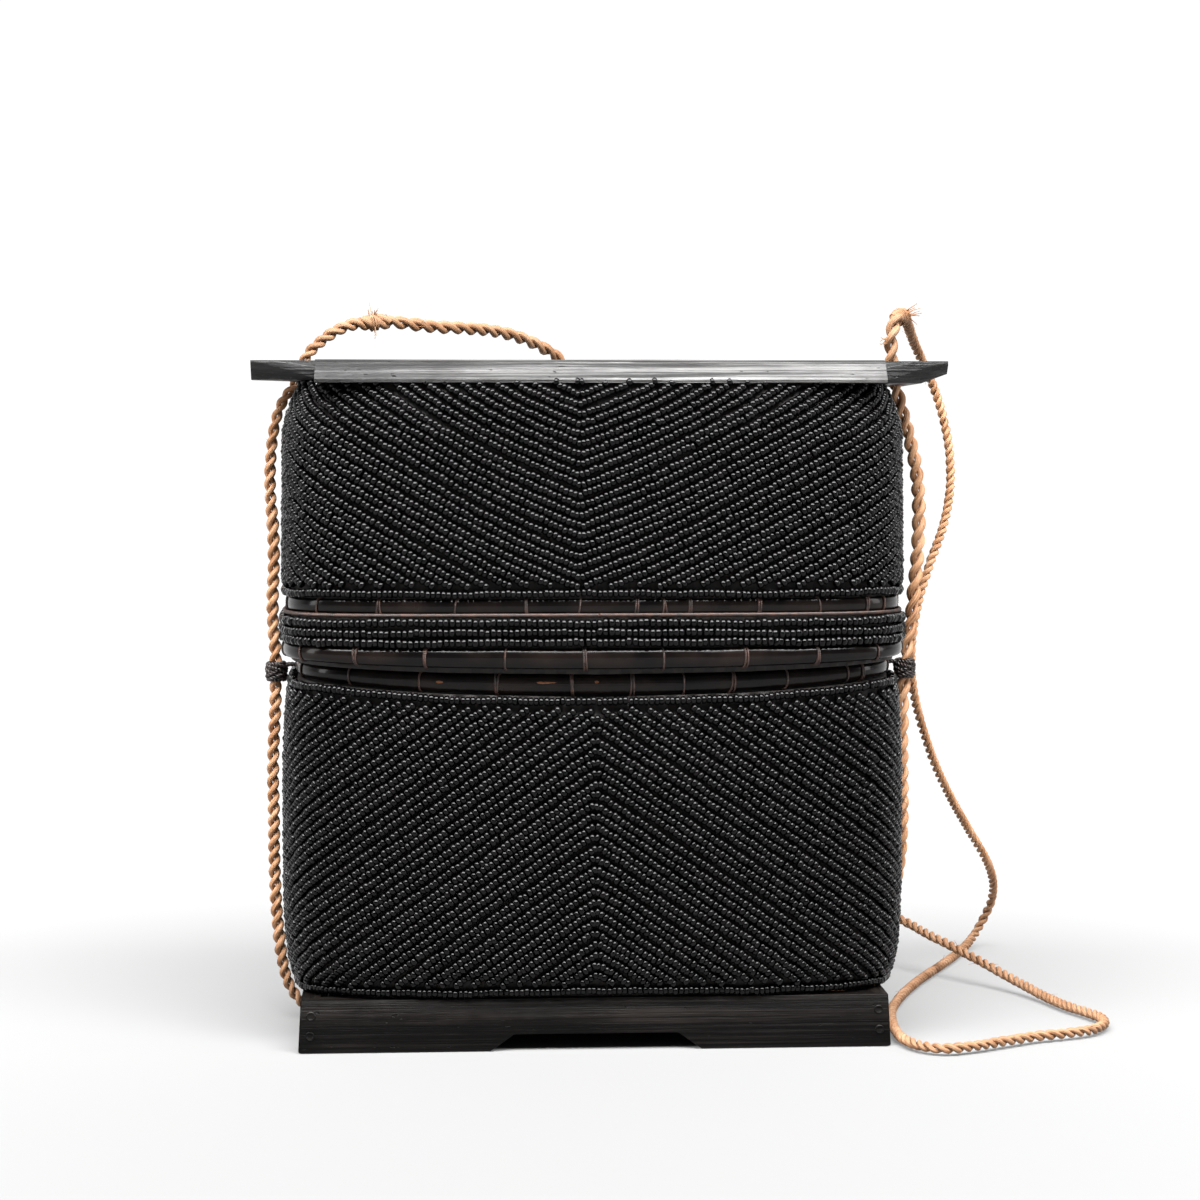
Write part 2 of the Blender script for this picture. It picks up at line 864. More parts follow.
@dataclass(frozen=True)
class Run:
    """One run of the rope between its splices.

    The route is in millimetres, from the left splice to the right one. The lays and sizes are pairs of a
    share of the length and a value. The run leaves each splice towards +1, the strap's side, or -1.
    """

    name: str
    towards: int
    diameter: float
    knot: str
    lays: tuple[tuple[float, float], ...]
    sizes: tuple[tuple[float, float], ...]
    route: tuple[Colour, ...]


CARRYING = Run(
    name="carrying_rope",
    towards=-1,
    diameter=0.0042,
    knot="splice_right",
    lays=((0.0, 0.0080), (0.36, 0.0080), (0.62, 0.0110), (1.0, 0.0118)),
    sizes=(
        (0.0, 1.0), (0.05, 0.80), (0.12, 0.96), (0.32, 0.96), (0.38, 0.74), (0.58, 0.80), (0.64, 1.04),
        (1.0, 1.10),
    ),
    route=(
        (-79.3, 3.9, 221.6), (-84.4, 2.0, 218.6), (-89.6, 0.6, 214.0), (-92.5, 0.0, 209.0),
        (-94.7, 0.0, 203.4), (-97.9, 0.0, 199.0), (-100.0, 0.0, 194.4), (-101.6, 0.0, 187.6),
        (-102.4, 0.0, 180.0), (-102.7, 0.0, 170.0), (-101.8, 0.0, 157.0), (-101.7, 0.0, 146.0),
        (-102.1, 0.0, 136.5), (-102.0, 0.0, 127.0), (-101.4, 0.0, 119.0), (-101.3, 0.0, 111.5),
        (-101.4, 0.0, 104.0), (-101.8, 0.0, 95.0), (-102.4, 0.0, 81.0), (-102.2, 0.0, 65.0),
        (-102.1, 0.0, 50.0), (-101.5, 0.0, 36.0), (-100.4, 0.0, 24.0), (-98.7, 0.0, 14.5),
        (-95.6, 0.0, 8.0), (-90.6, 0.0, 3.7), (-82.0, 0.0, 2.3), (-45.0, 0.0, 2.3),
        (0.0, 2.0, 2.3), (45.0, 13.0, 2.3), (76.0, 22.6, 2.3), (84.6, 25.4, 3.1),
        (91.6, 27.2, 7.2), (96.3, 28.6, 14.8), (98.7, 28.6, 21.0), (99.1, 26.6, 27.0),
        (99.5, 19.0, 34.0), (100.0, 10.0, 42.0), (100.3, 4.0, 51.0), (100.3, 1.0, 61.0),
        (100.2, 0.0, 75.0), (100.0, 0.0, 90.0),
        (100.3, 0.0, 103.0), (100.8, 0.0, 111.0), (101.6, 0.0, 119.5), (102.9, 0.0, 128.5),
        (103.8, 0.0, 138.5), (104.7, 0.0, 149.0), (105.1, 0.0, 161.0), (104.7, 0.0, 171.5),
        (103.3, 0.0, 180.5), (101.3, 0.0, 188.5), (99.2, 0.0, 196.0), (97.3, 0.0, 203.0),
        (96.1, 0.0, 209.5), (95.6, -0.8, 215.4), (95.7, -1.2, 219.6),
    ),
)
STRAP = Run(
    name="shoulder_strap",
    towards=1,
    diameter=0.0037,
    knot="splice_left",
    lays=((0.0, 0.0124), (0.10, 0.0112), (0.18, 0.0066), (1.0, 0.0056)),
    sizes=((0.0, 1.04), (0.10, 1.0), (0.16, 0.80), (0.94, 0.76), (1.0, 0.90)),
    route=(
        (-59.9, 12.8, 223.2), (-50.2, 20.0, 222.4), (-40.4, 27.0, 222.2), (-30.4, 35.0, 221.6),
        (-22.4, 42.0, 219.9), (-15.3, 48.4, 217.2), (-9.8, 53.2, 214.2), (-6.0, 57.3, 209.6),
        (-3.6, 60.0, 203.0), (-1.6, 61.0, 194.0), (0.6, 60.6, 182.0), (3.6, 60.0, 168.0),
        (7.4, 59.8, 153.0), (12.2, 59.9, 137.0), (18.6, 60.3, 121.0), (26.4, 61.2, 105.0),
        (35.6, 62.6, 89.5), (46.0, 64.6, 75.0), (57.8, 67.0, 61.0), (71.0, 69.8, 47.8),
        (85.0, 72.6, 35.6), (98.6, 75.0, 25.2), (107.8, 76.0, 19.6), (114.6, 73.6, 16.6),
        (120.0, 64.0, 14.2), (125.4, 55.6, 12.2), (130.8, 47.6, 10.0), (136.2, 39.6, 7.8),
        (141.4, 31.0, 5.4), (146.2, 21.0, 3.6), (150.0, 9.5, 2.5), (153.6, -4.0, 2.3),
        (157.6, -14.5, 2.3), (160.4, -23.5, 2.3), (159.2, -33.0, 2.3), (153.2, -41.4, 2.3),
        (144.0, -46.2, 2.3), (133.5, -50.2, 2.3), (122.8, -56.4, 2.3), (112.2, -62.6, 2.3),
        (103.0, -65.6, 2.3), (95.8, -60.8, 2.3), (92.3, -49.6, 2.3), (92.6, -31.0, 2.3),
        (96.0, -8.0, 2.3), (103.2, 16.0, 2.3), (113.4, 41.4, 2.3), (125.8, 67.8, 2.3),
        (136.8, 92.0, 2.5), (144.4, 108.0, 4.4), (149.6, 113.4, 10.4), (152.2, 110.4, 18.6),
        (150.8, 102.0, 26.6), (146.2, 91.4, 35.8), (137.7, 80.0, 48.1), (129.3, 68.0, 60.4),
        (122.1, 57.0, 72.2), (116.6, 48.0, 83.6), (112.1, 40.0, 94.7), (109.0, 34.0, 106.5),
        (108.4, 30.4, 119.1), (110.6, 30.4, 132.5), (115.1, 34.0, 145.0), (119.6, 38.0, 155.5),
        (122.6, 42.0, 165.5), (123.6, 44.6, 175.6), (122.9, 46.2, 185.7), (120.8, 47.0, 195.4),
        (117.9, 46.4, 203.6), (113.6, 42.4, 211.4), (108.9, 33.6, 218.2), (105.2, 22.6, 223.0),
    ),
)


@dataclass
class Rope:
    """The grass rope: carrying rope, shoulder strap, frayed splices and loose fibres."""

    finishes: Finishes
    runs: tuple[Run, ...] = (CARRYING, STRAP)
    spacing: float = 0.00070
    ply_radius: float = 0.00104
    ply_offset: float = 0.00110
    splice_length: float = 0.0080
    lead: float = 0.0015
    fuzz_margin: int = 14
    fuzz_step: int = 9
    fuzz_depth: float = 0.0013
    fuzz_lean: tuple[float, float] = (0.8, 2.6)
    fuzz_reach: tuple[float, float] = (0.0008, 0.0024)
    fuzz_thick: tuple[float, float] = (5e-5, 1.1e-4)
    tuft_thick: tuple[float, float] = (1.7e-4, 3.6e-4)
    tufts: tuple[tuple[Colour, Colour, int, float], ...] = (
        ((-0.0700, 0.0075, 0.2244), (0.04, -0.15, 1.0), 11, 0.0042),
        ((-0.0690, 0.0066, 0.2218), (0.12, -0.45, -1.0), 2, 0.0056),
        ((0.1016, 0.0052, 0.2262), (1.0, -0.25, 0.10), 12, 0.0046),
        ((0.0940, -0.0014, 0.2170), (-1.0, -0.20, -0.10), 6, 0.0030),
    )
    left_splice: tuple[Colour, Colour] = ((-0.0694, 0.0080, 0.2234), (0.92, 0.38, 0.08))
    right_splice: tuple[Colour, Colour] = ((0.0996, 0.0055, 0.2254), (0.40, 0.91, 0.12))

    def centreline(self, run: Run) -> Array:
        """A run's centreline, from the left splice to the right one, as points at even steps."""
        ends = []
        for middle, direction in (self.left_splice, self.right_splice):
            along = Vector(direction).normalized() * run.towards
            ends.append((Vector(middle) + along * (self.splice_length / 2 + LEVELS.gap), along * self.lead))
        (start, lead_out), (stop, lead_in) = ends
        middle_points = [start + lead_out, *(Vector(p) * 0.001 for p in run.route), stop + lead_in]
        return even_points([start, *smooth_route(middle_points), stop], self.spacing)

    def build(self) -> None:
        splices = {
            "splice_left": self.build_splice("splice_left", *self.left_splice),
            "splice_right": self.build_splice("splice_right", *self.right_splice),
        }
        for run in self.runs:
            name = run.name
            line = self.centreline(run)
            length = float(np.linalg.norm(np.diff(line, axis=0), axis=1).sum())
            seed = random_source(name)
            share = np.linspace(0.0, 1.0, len(line))
            lay, size = (np.interp(share, *zip(*stops)) for stops in (run.lays, run.sizes))
            twist = Twist(plies=2, ply_radius=self.ply_radius, offset=self.ply_offset, lay=lay, size=size)
            finish = GrassRope(length, f"{name}_grass").build()
            piece = add_piece(name, tube_mesh(name, twist.around(line, seed)), finish, name)
            LOG.info("%s: %.3f m", name, length)
            self.add_fuzz(name, line, seed)
        self.add_tufts()

    def build_splice(self, name: str, middle: Colour, direction: Colour) -> bpy.types.Object:
        """A splice: both ropes' plies side by side, bound by a few turns."""
        seed = random_source(name)
        along = Vector(direction).normalized()
        ends = [Vector(middle) + along * (self.splice_length * share) for share in (-0.56, 0.56)]
        line = even_points([ends[0], ends[1]], 0.0004)
        twist = Twist(plies=3, ply_radius=0.00125, offset=0.00135, lay=0.0105, uneven=0.2)
        tubes = twist.around(line, seed)
        binding = Twist(plies=1, ply_radius=0.00042, offset=0.00255, lay=0.00095, uneven=0.3)
        half = len(line) // 2
        tubes += binding.around(even_points(line[half - 4 : half + 3], 0.00012), seed)
        finish = GrassRope(self.splice_length, f"{name}_grass").build()
        return add_piece(name, tube_mesh(name, tubes), finish, name)

    def add_fuzz(self, name: str, line: Array, seed: np.random.Generator) -> None:
        """Fine fibres that lift off a rope."""
        tubes = []
        count = len(line)
        tangents, first, second = unturned_axes(line)
        for spot in seed.integers(self.fuzz_margin, count - self.fuzz_margin, size=count // self.fuzz_step):
            angle = seed.uniform(0, 2 * math.pi)
            out = math.cos(angle) * first[spot] + math.sin(angle) * second[spot]
            if line[spot][2] < 0.004 and out[2] < 0.2:
                continue
            lean = tangents[spot] * seed.choice([-1.0, 1.0]) * seed.uniform(*self.fuzz_lean) + out
            lean = normed(lean)
            start = line[spot] + out * self.fuzz_depth
            reach, thick = seed.uniform(*self.fuzz_reach), seed.uniform(*self.fuzz_thick)
            tubes.append(self.fibre(start, lean, reach, thick, seed))
        mesh = tube_mesh(f"{name}_fibres", tubes, detail=0)
        add_piece(f"{name}_fibres", mesh, self.finishes.fibre, name, dresses=False)

    def add_tufts(self) -> None:
        """The short tufts of cut ends at the splices."""
        for index, (place, facing, count, reach) in enumerate(self.tufts):
            name = f"frayed_tuft_{index + 1}"
            seed = random_source(name)
            tubes = []
            for _ in range(count):
                way = np.array(facing) + seed.normal(scale=0.30, size=3)
                start = np.array(place) + seed.normal(scale=0.00055, size=3) - way * 0.0012
                length = reach * seed.uniform(0.65, 1.15)
                thick = seed.uniform(*self.tuft_thick)
                tubes.append(self.fibre(start, normed(way), length, thick, seed))
            mesh = tube_mesh(name, tubes, detail=1)
            add_piece(name, mesh, self.finishes.fibre, "carrying_rope", dresses=False)

    @staticmethod
    def fibre(start: Array, way: Array, reach: float, thick: float, seed: np.random.Generator) -> Tube:
        """One bent, tapering fibre.

        Args:
            start: Where it starts.
            way: The unit direction that it leaves in.
            reach: Its length.
            thick: Its radius at the start.
            seed: The source of its bend.

        Returns:
            Its run.
        """
        curl = seed.normal(scale=0.28, size=3) * reach
        shares = np.linspace(0, 1, 6)[:, None]
        points = start + way * reach * shares + curl * shares**2
        points[:, 2] = np.maximum(points[:, 2], LEVELS.floor_gap)
        return Tube(points, thick, np.linspace(1.0, 0.35, len(points)))


# Beadwork


@dataclass(frozen=True)
class Panel:
    """One field of beads on the basket."""

    name: str
    node: str
    low: float
    high: float
    profile: tuple[tuple[float, float], ...]
    chevron: Chevron
    slope: float
    slope_at_middle: float
    ease: float
    apex: float
    skew: float
    warped: bool
    top_strand: bool

    def inset(self, z: Array) -> Array:
        """How far the outside of the beads stands in from the widest outline, at a height."""
        share = np.clip((z - self.low) / (self.high - self.low), 0.0, 1.0)
        shares, insets = zip(*self.profile)
        return np.interp(share, shares, insets)

    def level(self, z: Array, share: Array) -> Array:
        """The level of the basket's profile that a height has once its bands have dipped."""
        if not self.warped:
            return z
        sag, fade = LEVELS.sag * share**2, LEVELS.fade_below
        moved = (z - sag * (1 - self.high / fade)) / (1 + sag / fade)
        return np.where(z > self.high - fade, moved, z)

    def top(self, share: Array) -> Array:
        """The height of the panel's upper edge."""
        return self.high + (LEVELS.sag * share**2 if self.warped else 0.0 * share)

    def from_apex(self, along: Array) -> tuple[Array, Array]:
        """How far places are from the points of the chevrons.

        Args:
            along: Lengths along the outline.

        Returns:
            The signed length from the apex at the front, and the length from the nearest apex.
        """
        half = PLAN.girth / 2
        from_front = (along - self.apex + half) % (2 * half) - half
        return from_front, np.minimum(np.abs(from_front), half - np.abs(from_front))

    def rise(self, from_front: Array, distance: Array) -> Array:
        """How far a strand has climbed or fallen.

        Args:
            from_front: The signed length from the apex at the front.
            distance: The length from the nearest apex.

        Returns:
            The heights above the apex.
        """
        fine = np.linspace(0.0, 0.4, 2001)
        ease = np.clip(fine / self.ease, 0.0, 1.0)
        slope = self.slope_at_middle + (self.slope - self.slope_at_middle) * ease * ease * (3 - 2 * ease)
        climbed = np.concatenate([[0.0], np.cumsum((slope[1:] + slope[:-1]) / 2 * np.diff(fine))])
        steeper = 1.0 - self.skew * np.sign(from_front)
        return self.chevron.value * steeper * np.interp(np.maximum(distance, 0.0), fine, climbed)


@dataclass
class Beadwork:
    """All the sewn beads: chevron panels, edge strands and the lid's level strands."""

    finishes: Finishes
    diameter: float = 0.0027
    pitch: float = 0.00162
    band_diameter: float = 0.0030
    band_pitch: float = 0.0018
    band_count: int = 3
    band_rise: float = 0.0030
    band_proud: float = 0.0008
    band_slack: float = 0.0040
    end_depth: float = 0.0120
    bead_girth: tuple[float, float] = (1.05, 1.75)
    bead_shoulder: tuple[float, float] = (1.24, 1.10)
    bead_end: float = 0.80
    tilt: float = 0.11
    crowding: float = 1.06
    girth_spread: float = 0.035
    length_spread: float = 0.05
    stand_spread: float = 0.00012
    line_spread: float = 0.00009
    run_spread: float = 0.00007
    edge_spread: float = 0.00008
    edge_room: float = 1.32
    tucked: float = 0.22
    whip_step: float = 0.0003
    whip_inset: float = 0.0012
    whip_drop: float = 0.0004
    lid_panel: Panel = Panel(
        name="lid_beads",
        node="lid_beadwork",
        low=LEVELS.lid_low,
        high=LEVELS.lid_high,
        profile=((0.0, 0.0), (0.25, 0.0001), (0.60, 0.0004), (0.78, 0.0005), (0.86, 0.0017), (0.93, 0.0033),
                 (0.97, 0.0044), (1.0, 0.0053)),
        chevron=Chevron.RISE,
        slope=0.550,
        slope_at_middle=0.40,
        ease=0.045,
        apex=-0.0060,
        skew=0.050,
        warped=False,
        top_strand=False,
    )
    base_panel: Panel = Panel(
        name="base_beads",
        node="base_beadwork",
        low=LEVELS.base_low,
        high=LEVELS.base_high,
        profile=((0.0, 0.0036), (0.035, 0.0026), (0.09, 0.0014), (0.14, 0.0008), (0.24, 0.0002), (0.40, 0.0),
                 (0.72, 0.0), (0.90, 0.0008), (1.0, 0.0018)),
        chevron=Chevron.FALL,
        slope=0.685,
        slope_at_middle=0.60,
        ease=0.010,
        apex=-0.0010,
        skew=0.008,
        warped=True,
        top_strand=True,
    )

    def bead(self) -> bpy.types.Mesh:
        """One seed bead of radius 1 and half length 1 along its hole, which runs along Z."""
        shape = bmesh.new()
        shape.loops.layers.uv.new("OFBake")
        bmesh.ops.create_uvsphere(shape, u_segments=7, v_segments=5, radius=1.0, calc_uvs=True)
        for vert in shape.verts:
            height = abs(vert.co.z)
            wider, longer = self.bead_girth if height < 0.5 else self.bead_shoulder
            if height > 0.9:
                wider, longer = 1.0, self.bead_end
            vert.co = Vector((vert.co.x * wider, vert.co.y * wider, vert.co.z * longer))
        mesh = bpy.data.meshes.new("seed_bead")
        shape.to_mesh(mesh)
        shape.free()
        return mesh

    def lay(
        self, name: str, centres: Array, along: Array, out: Array, sizes: tuple[float, float]
    ) -> bpy.types.Mesh:
        """Lays beads along their strands.

        Args:
            name: The mesh's name.
            centres: The beads' middles.
            along: Unit directions of their holes.
            out: Unit directions away from the basket.
            sizes: The beads' diameter and pitch.

        Returns:
            One mesh with all the beads.
        """
        seed = random_source(name)
        count = len(centres)
        along = normed(along + seed.normal(scale=self.tilt, size=(count, 3)))
        across = normed(np.cross(out, along))
        away = np.cross(along, across)
        radius = sizes[0] / 2 * (1 + seed.normal(scale=self.girth_spread, size=(count, 1)))
        half = sizes[1] / 2 * self.crowding * (1 + seed.normal(scale=self.length_spread, size=(count, 1)))
        centres = centres + away * seed.normal(scale=self.stand_spread, size=(count, 1))
        centres = centres + across * seed.normal(scale=self.line_spread, size=(count, 1))
        axes = np.stack([across * radius, away * radius, along * half], axis=1)
        return copies_mesh(name, self.bead(), centres, axes)

    def surface(self, panel: Panel, along: Array, z: Array, depth: float) -> Array:
        """Points under the beads' outer surface.

        Args:
            panel: The panel they are on.
            along: Lengths along the outline.
            z: Heights.
            depth: How deep under the surface they are.

        Returns:
            The points.
        """
        level = panel.level(z, PLAN.share(along))
        point, normal, _ = PLAN.at(along, panel.inset(level))
        lean = (panel.inset(level + 2e-4) - panel.inset(level - 2e-4)) / 4e-4
        return np.column_stack([point, z]) - normed(np.column_stack([normal, lean])) * depth

    def strands(self, panel: Panel) -> tuple[Array, Array]:
        """Where the beads of a panel's slanting strands go.

        Returns:
            Lengths along the outline and heights.
        """
        seed = random_source(panel.name)
        half = PLAN.girth / 2
        per_side = int(round(half / (self.pitch / math.hypot(1.0, panel.slope))))
        step = half / per_side
        along = (np.arange(2 * per_side) + 0.5) * step + panel.apex
        from_front, distance = panel.from_apex(along)
        spacing = self.diameter / math.cos(math.atan(panel.slope))
        climbed = panel.rise(from_front, distance)
        lowest = panel.low - climbed.max() - spacing
        highest = panel.high + LEVELS.sag - climbed.min() + spacing
        starts = np.arange(lowest, highest, spacing) + panel.low % spacing
        size = (len(starts), len(along))
        z = starts[:, None] + climbed[None, :] + seed.normal(scale=self.line_spread, size=size)
        drift = seed.uniform(-0.5, 0.5, size=(len(starts), 1)) * step
        u = along[None, :] + drift + seed.normal(scale=self.run_spread, size=size)
        z, u = z.ravel(), u.ravel()
        margin = self.diameter * self.edge_room
        top_margin = margin if panel.top_strand else -self.diameter * self.tucked
        kept = (z > panel.low + margin) & (z < panel.top(PLAN.share(u)) - top_margin)
        return u[kept], z[kept]

    def edge(self, panel: Panel, upper: bool) -> tuple[Array, Array]:
        """Where the beads of a panel's level edge strand go.

        Returns:
            Lengths along the outline and heights.
        """
        seed = random_source(f"{panel.name}{upper}")
        count = int(round(PLAN.girth / self.pitch))
        u = np.arange(count) * PLAN.girth / count + seed.normal(scale=self.edge_spread, size=count)
        wander = 0.0002 * np.sin(u * 95.0) + 0.00015 * np.sin(u * 231.0)
        radius = self.diameter / 2
        z = panel.top(PLAN.share(u)) - radius if upper else np.full(count, panel.low + radius)
        return u, z + wander

    def build_panel(self, panel: Panel) -> None:
        """Builds one panel's beads in six pieces: the ends and the halves of the front and the back."""
        parts = [self.strands(panel), self.edge(panel, False)]
        if panel.top_strand:
            parts.append(self.edge(panel, True))
        u = np.concatenate([p[0] for p in parts]) % PLAN.girth
        z = np.concatenate([p[1] for p in parts])
        slanting = np.arange(len(u)) < len(parts[0][0])
        radius = self.diameter / 2
        centres = self.surface(panel, u, z, radius)
        from_front, distance = panel.from_apex(u)
        outward = np.sign(from_front) * np.where(np.abs(from_front) < PLAN.girth / 4, 1.0, -1.0)
        reach = PLAN.reach
        climb = panel.rise(from_front, distance + reach) - panel.rise(from_front, distance - reach)
        climb = np.where(slanting, climb * outward, 0.0)
        ahead = self.surface(panel, u + reach, z + climb / 2, radius)
        behind = self.surface(panel, u - reach, z - climb / 2, radius)
        along = normed(ahead - behind)
        out = normed(self.surface(panel, u, z, 0.0) - centres)
        point, _, _ = PLAN.at(u, np.zeros(len(u)))
        ends = np.abs(point[:, 0] - PLAN.shift_x) > PLAN.half_x - self.end_depth
        front, left = point[:, 1] < 0, point[:, 0] < panel.apex
        faces = {
            "front_left": ~ends & front & left,
            "front_right": ~ends & front & ~left,
            "back_left": ~ends & ~front & left,
            "back_right": ~ends & ~front & ~left,
            "left": ends & left,
            "right": ends & ~left,
        }
        for face, chosen in faces.items():
            name = f"{panel.name}_{face}"
            mesh = self.lay(name, centres[chosen], along[chosen], out[chosen], (self.diameter, self.pitch))
            add_piece(name, mesh, self.finishes.beads, panel.node)
            LOG.info("%s: %d beads", name, int(chosen.sum()))

    def build_level_strands(self) -> None:
        """Builds the lid's three level strands."""
        seed = random_source("level_strands")
        centres, along, out = [], [], []
        for strand in range(self.band_count):
            beads = int(round((PLAN.girth + self.band_slack) / self.band_pitch))
            u = np.arange(beads) * PLAN.girth / beads + seed.normal(scale=self.edge_spread, size=beads)
            wander = 0.00022 * np.sin(u * 61.0 + strand) + 0.00016 * np.sin(u * 173.0 + 2 * strand)
            z = LEVELS.strands_low + (strand + 0.5) * self.band_rise + wander
            inset = np.full(beads, self.band_diameter / 2 - self.band_proud)
            point, normal, share = PLAN.at(u, inset)
            z = z + LEVELS.lift(z) * share**2
            centres.append(np.column_stack([point, z]))
            out.append(np.column_stack([normal, np.zeros(beads)]))
            along.append(np.column_stack([-normal[:, 1], normal[:, 0], np.zeros(beads)]))
        name = "lid_level_beads"
        stacked = [np.concatenate(part) for part in (centres, along, out)]
        mesh = self.lay(name, *stacked, (self.band_diameter, self.band_pitch))
        add_piece(name, mesh, self.finishes.beads, "lid_bead_strands")

    def build_whipping(self) -> None:
        """Builds the line of dark thread turns that closes the level strands below the narrow strip."""
        name = "lid_thread_line"
        u = np.linspace(0.0, PLAN.girth, int(PLAN.girth / self.whip_step), endpoint=False)
        point, _, share = PLAN.at(u, np.full(len(u), self.whip_inset))
        z = np.full(len(u), LEVELS.rattan_low - self.whip_drop)
        z = z + LEVELS.lift(z) * share**2
        ring = np.column_stack([point, z])
        twist = Twist(plies=3, ply_radius=0.00036, offset=0.00034, lay=0.0021, uneven=0.06)
        mesh = tube_mesh(name, twist.around(ring, random_source(name)), detail=1)
        add_piece(name, mesh, self.finishes.thread, "lid_bead_strands", dresses=False)

    def build(self) -> None:
        """Builds all the beads."""
        self.build_panel(self.lid_panel)
        self.build_panel(self.base_panel)
        self.build_level_strands()
        self.build_whipping()


# Lacquered strips


@dataclass(frozen=True)
class Strip:
    """One strip of split rattan and where its stitches cross the front."""

    name: str
    low: float
    height: float
    back: float
    proud: float
    stitches: tuple[float, ...]


@dataclass
class RattanStrips:
    """The three lacquered strips, each sewn on with short stitches."""

    finishes: Finishes
    stations: int = 300
    thread: float = 0.00020
    spacing: float = 0.0225
    strips: tuple[Strip, ...] = (
        Strip("lid_rattan_strip", LEVELS.rattan_low, LEVELS.rattan, 0.0027, 0.0011,
              (-87.8, -68.7, -45.3, -23.7, -7.2, 10.3, 18.8, 26.7, 48.2, 67.1, 82.6, 88.4)),
        Strip("lid_rim_strip", LEVELS.rim_low, LEVELS.rim, 0.0027, 0.0023,
              (-92.0, -75.3, -54.1, -29.9, -5.7, 18.1, 43.3, 65.5, 85.0)),
        Strip("base_collar_strip", LEVELS.collar_low, LEVELS.collar, 0.0066, 0.0020,
              (-80.6, -58.3, -33.8, -9.7, 9.4, 26.1, 41.7, 59.1, 79.3, 84.5)),
    )

    def section(
        self, strip: Strip, along: float, grow: float = 0.0, front_only: bool = False
    ) -> list[Vector]:
        """The strip's section at one place, from its lower back corner over the front to its upper one.

        Args:
            strip: The strip.
            along: The length along the outline.
            grow: How far outside the strip the points stand.
            front_only: Leaves the flat back out.

        Returns:
            The section's points.
        """
        wave = noise.noise(Vector((along * 28.0, strip.low * 900.0, 0.0)))
        swell = noise.noise(Vector((along * 75.0, strip.low * 900.0, 5.0)))
        height = strip.height * (1 + 0.035 * swell) + 2 * grow
        low = strip.low - grow + 0.00012 * wave
        proud = strip.proud * (1 + 0.07 * wave) + grow
        insets, levels = [], []
        for k in range(13):
            angle = math.pi * (k / 12 - 0.5)
            front = abs(math.cos(angle)) ** 0.55
            level = 0.5 + 0.5 * math.copysign(abs(math.sin(angle)) ** 0.85, math.sin(angle))
            insets.append(strip.back - proud * front)
            levels.append(low + height * level)
        if not front_only:
            insets += [strip.back + 0.0002] * 2
            levels += [low + height * 0.85, low + height * 0.15]
        point, _, share = PLAN.at(np.full(len(insets), along), np.array(insets))
        z = np.array(levels)
        z = z + LEVELS.lift(z) * share**2
        return [Vector((x, y, h)) for (x, y), h in zip(point, z)]

    def stitch_places(self, strip: Strip) -> list[float]:
        """Where the stitches cross, as lengths along the outline."""
        unit, length = PLAN.outline()
        x = unit[:, 0] * PLAN.half_x + PLAN.shift_x
        front = (length < PLAN.girth / 4) | (length > PLAN.girth * 0.75)
        places = [float(length[front][np.argmin(np.abs(x[front] - s / 1000))]) for s in strip.stitches]
        seed = random_source(strip.name)
        right = max(p for p in places if p < PLAN.girth / 2)
        left = min(p for p in places if p > PLAN.girth / 2)
        count = max(1, round((left - right) / self.spacing))
        between = [right + (left - right) * k / count for k in range(1, count)]
        return places + [p + seed.normal(scale=0.0012) for p in between]

    def build(self) -> None:
        """Builds the strips and their stitches."""
        for strip in self.strips:
            rows = [self.section(strip, k * PLAN.girth / self.stations) for k in range(self.stations)]
            add_piece(strip.name, ring_mesh(strip.name, rows), self.finishes.rattan, strip.name, smooth=50)
            self.build_stitches(strip)

    def build_stitches(self, strip: Strip) -> None:
        """Builds the short thread turns over one strip."""
        seed = random_source(f"{strip.name}_stitches")
        tubes = []
        twist = Twist(plies=2, ply_radius=self.thread, offset=self.thread * 0.85, lay=0.0013, uneven=0.08)
        for place in self.stitch_places(strip):
            turns = int(seed.integers(1, 3))
            for turn in range(turns):
                shift = (turn - (turns - 1) / 2) * self.thread * 3.6 + seed.normal(scale=0.0001)
                slant = seed.normal(scale=0.0003)
                rows = []
                for k, share in enumerate(np.linspace(-1, 1, 13)):
                    along = place + shift + slant * share
                    rows.append(self.section(strip, along, self.thread, front_only=True)[k])
                tubes += twist.around(even_points(smooth_route(rows, 4), 0.0003), seed)
        name = f"{strip.name}_stitches"
        add_piece(name, tube_mesh(name, tubes, detail=1), self.finishes.thread, strip.name, dresses=False)


# The plank


